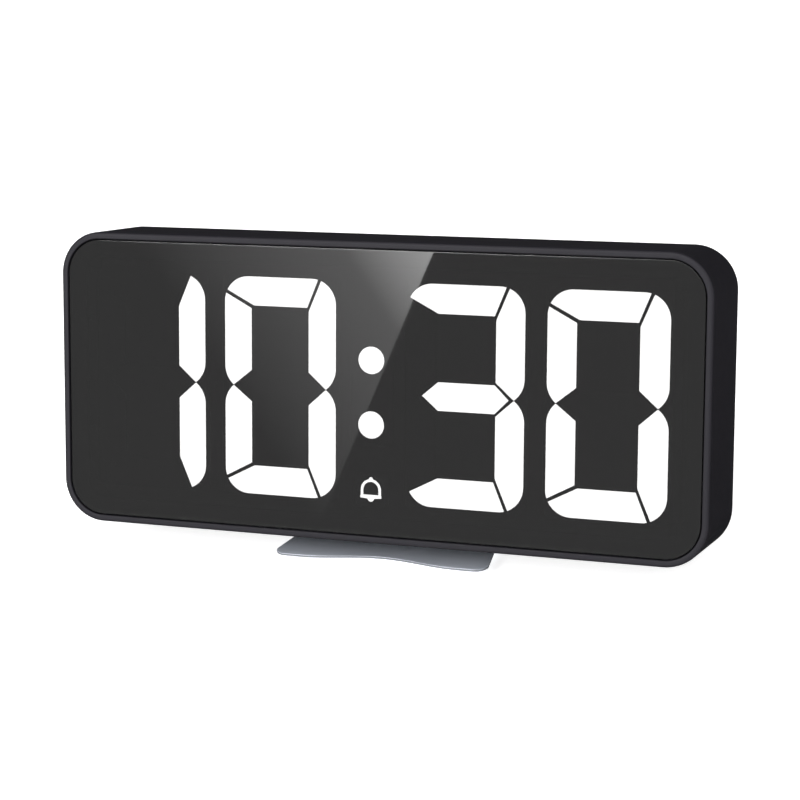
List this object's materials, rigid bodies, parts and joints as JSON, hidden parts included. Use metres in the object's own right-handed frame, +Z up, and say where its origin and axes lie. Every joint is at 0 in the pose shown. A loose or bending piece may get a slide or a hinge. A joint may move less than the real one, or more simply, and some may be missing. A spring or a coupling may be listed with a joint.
{
  "type": "alarm clock",
  "caption": "Digital alarm clock: shallow rounded box with a smoked front panel and large lit digits, leaning back on a bent sheet-metal foot.",
  "frame": {"origin": "middle of the object's box, on the surface it stands on", "axes": "+X to the right along the face, -Y towards the viewer of the digits, +Z up; the clock leans back 12 degrees"},
  "size_m": [0.165, 0.0526, 0.0798],
  "materials": {
    "housing": "fine moulded texture, dark grey",
    "lens": "smoked acrylic, polished",
    "light_box": "matt black",
    "segments": "opal white, lit from behind",
    "board": "green solder mask",
    "chip": "moulded epoxy",
    "nickel": "nickel plated",
    "coin": "nickel-plated can",
    "cell": "printed jacket with a bare end",
    "ribbon": "flat ribbon",
    "button": "fine moulded texture",
    "screw": "zinc plated",
    "stand_metal": "satin silver coat",
    "pad_rubber": "matt"
  },
  "bodies": {
    "clock": {"housing_shell": "housing", "front_lens": "lens", "display_reflector": "light_box", "colon_diffuser": "segments", "bell_diffuser": "segments", "display_board": "board", "main_board": "board", "clock_chip": "chip", "quartz_crystal": "nickel", "sounder": "chip", "coin_cell": "coin", "coin_cell_holder": "light_box", "power_inlet": "nickel", "display_ribbon": "ribbon", "rear_cover": "housing", "slide_switch": "chip", "stand_plate": "stand_metal", "digit_diffuser_1": "segments", "cover_screw_1": "screw", "display_screw_1": "screw", "board_screw_1": "screw", "foot_pad_1": "pad_rubber", "digit_diffuser_2": "segments", "cover_screw_2": "screw", "display_screw_2": "screw", "board_screw_2": "screw", "foot_pad_2": "pad_rubber", "digit_diffuser_3": "segments", "cover_screw_3": "screw", "display_screw_3": "screw", "board_screw_3": "screw", "foot_pad_3": "pad_rubber", "digit_diffuser_4": "segments", "cover_screw_4": "screw", "display_screw_4": "screw", "board_screw_4": "screw", "foot_pad_4": "pad_rubber", "dry_cell_1": "cell", "contact_spring_1": "nickel", "contact_plate_1": "nickel", "dry_cell_2": "cell", "contact_spring_2": "nickel", "contact_plate_2": "nickel", "dry_cell_3": "cell", "contact_spring_3": "nickel", "contact_plate_3": "nickel", "tact_switch_1": "chip", "tact_switch_2": "chip", "tact_switch_3": "chip", "tact_switch_4": "chip", "tact_switch_5": "chip", "stand_screw_1": "screw", "stand_screw_2": "screw"},
    "battery_door": {"battery_door": "housing"},
    "set_cap": {"button_set": "button"},
    "alarm_cap": {"button_alarm": "button"},
    "down_cap": {"button_down": "button"},
    "up_cap": {"button_up": "button"},
    "snooze_bar": {"button_snooze": "button"},
    "dimmer_knob": {"dimmer_slider": "button"}
  },
  "joints": [
    {"name": "battery_door_tilt", "type": "hinge", "parent": "clock", "child": "battery_door", "pos_m": [0, 0.00255, 0.02715], "axis": [-1, 0, 0], "range_deg": [0, 90]},
    {"name": "set_press", "type": "slide", "parent": "clock", "child": "set_cap", "axis": [0, -0.9781, 0.2079], "range_m": [0, 0.0006], "stiffness_N_per_m": 200, "springref_m": -0.0005},
    {"name": "alarm_press", "type": "slide", "parent": "clock", "child": "alarm_cap", "axis": [0, -0.9781, 0.2079], "range_m": [0, 0.0006], "stiffness_N_per_m": 200, "springref_m": -0.0005},
    {"name": "down_press", "type": "slide", "parent": "clock", "child": "down_cap", "axis": [0, -0.9781, 0.2079], "range_m": [0, 0.0006], "stiffness_N_per_m": 200, "springref_m": -0.0005},
    {"name": "up_press", "type": "slide", "parent": "clock", "child": "up_cap", "axis": [0, -0.9781, 0.2079], "range_m": [0, 0.0006], "stiffness_N_per_m": 200, "springref_m": -0.0005},
    {"name": "snooze_press", "type": "slide", "parent": "clock", "child": "snooze_bar", "axis": [0, -0.9781, 0.2079], "range_m": [0, 0.0006], "stiffness_N_per_m": 200, "springref_m": -0.0005},
    {"name": "dimmer_slide", "type": "slide", "parent": "clock", "child": "dimmer_knob", "axis": [1, 0, 0], "range_m": [-0.002, 0.002]}
  ]
}
